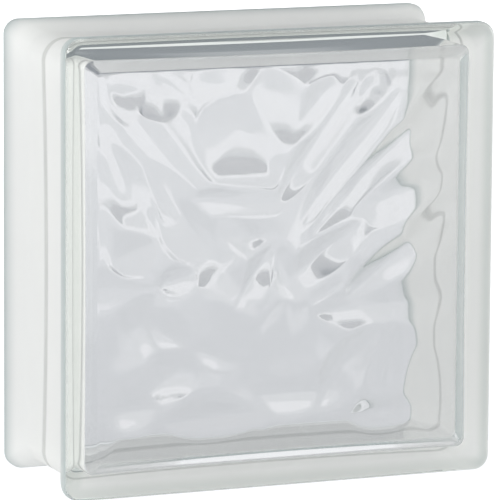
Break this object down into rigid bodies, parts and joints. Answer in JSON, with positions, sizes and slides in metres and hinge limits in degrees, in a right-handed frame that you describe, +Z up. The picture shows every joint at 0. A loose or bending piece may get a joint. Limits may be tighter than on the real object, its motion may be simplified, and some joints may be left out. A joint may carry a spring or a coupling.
{
  "type": "glass block",
  "caption": "Square hollow glass building block with soft wavy inner faces, rounded lips and a recessed, white-coated mortar channel round its edge.",
  "frame": {"origin": "centre of the underside of the lower lips, midway between the two faces", "axes": "+Z up, +X across the face, front face towards -Y, the seam between the halves lies on Y = 0"},
  "size_m": [0.19, 0.08, 0.19],
  "materials": {
    "glass": "clear pressed soda-lime glass with a slight green tint, polished faces and white coated channel sides",
    "edge_coating": "satin white coating on the channel and lip slopes"
  },
  "bodies": {
    "root": {"front_half": "glass", "back_half": "glass"}
  },
  "joints": []
}
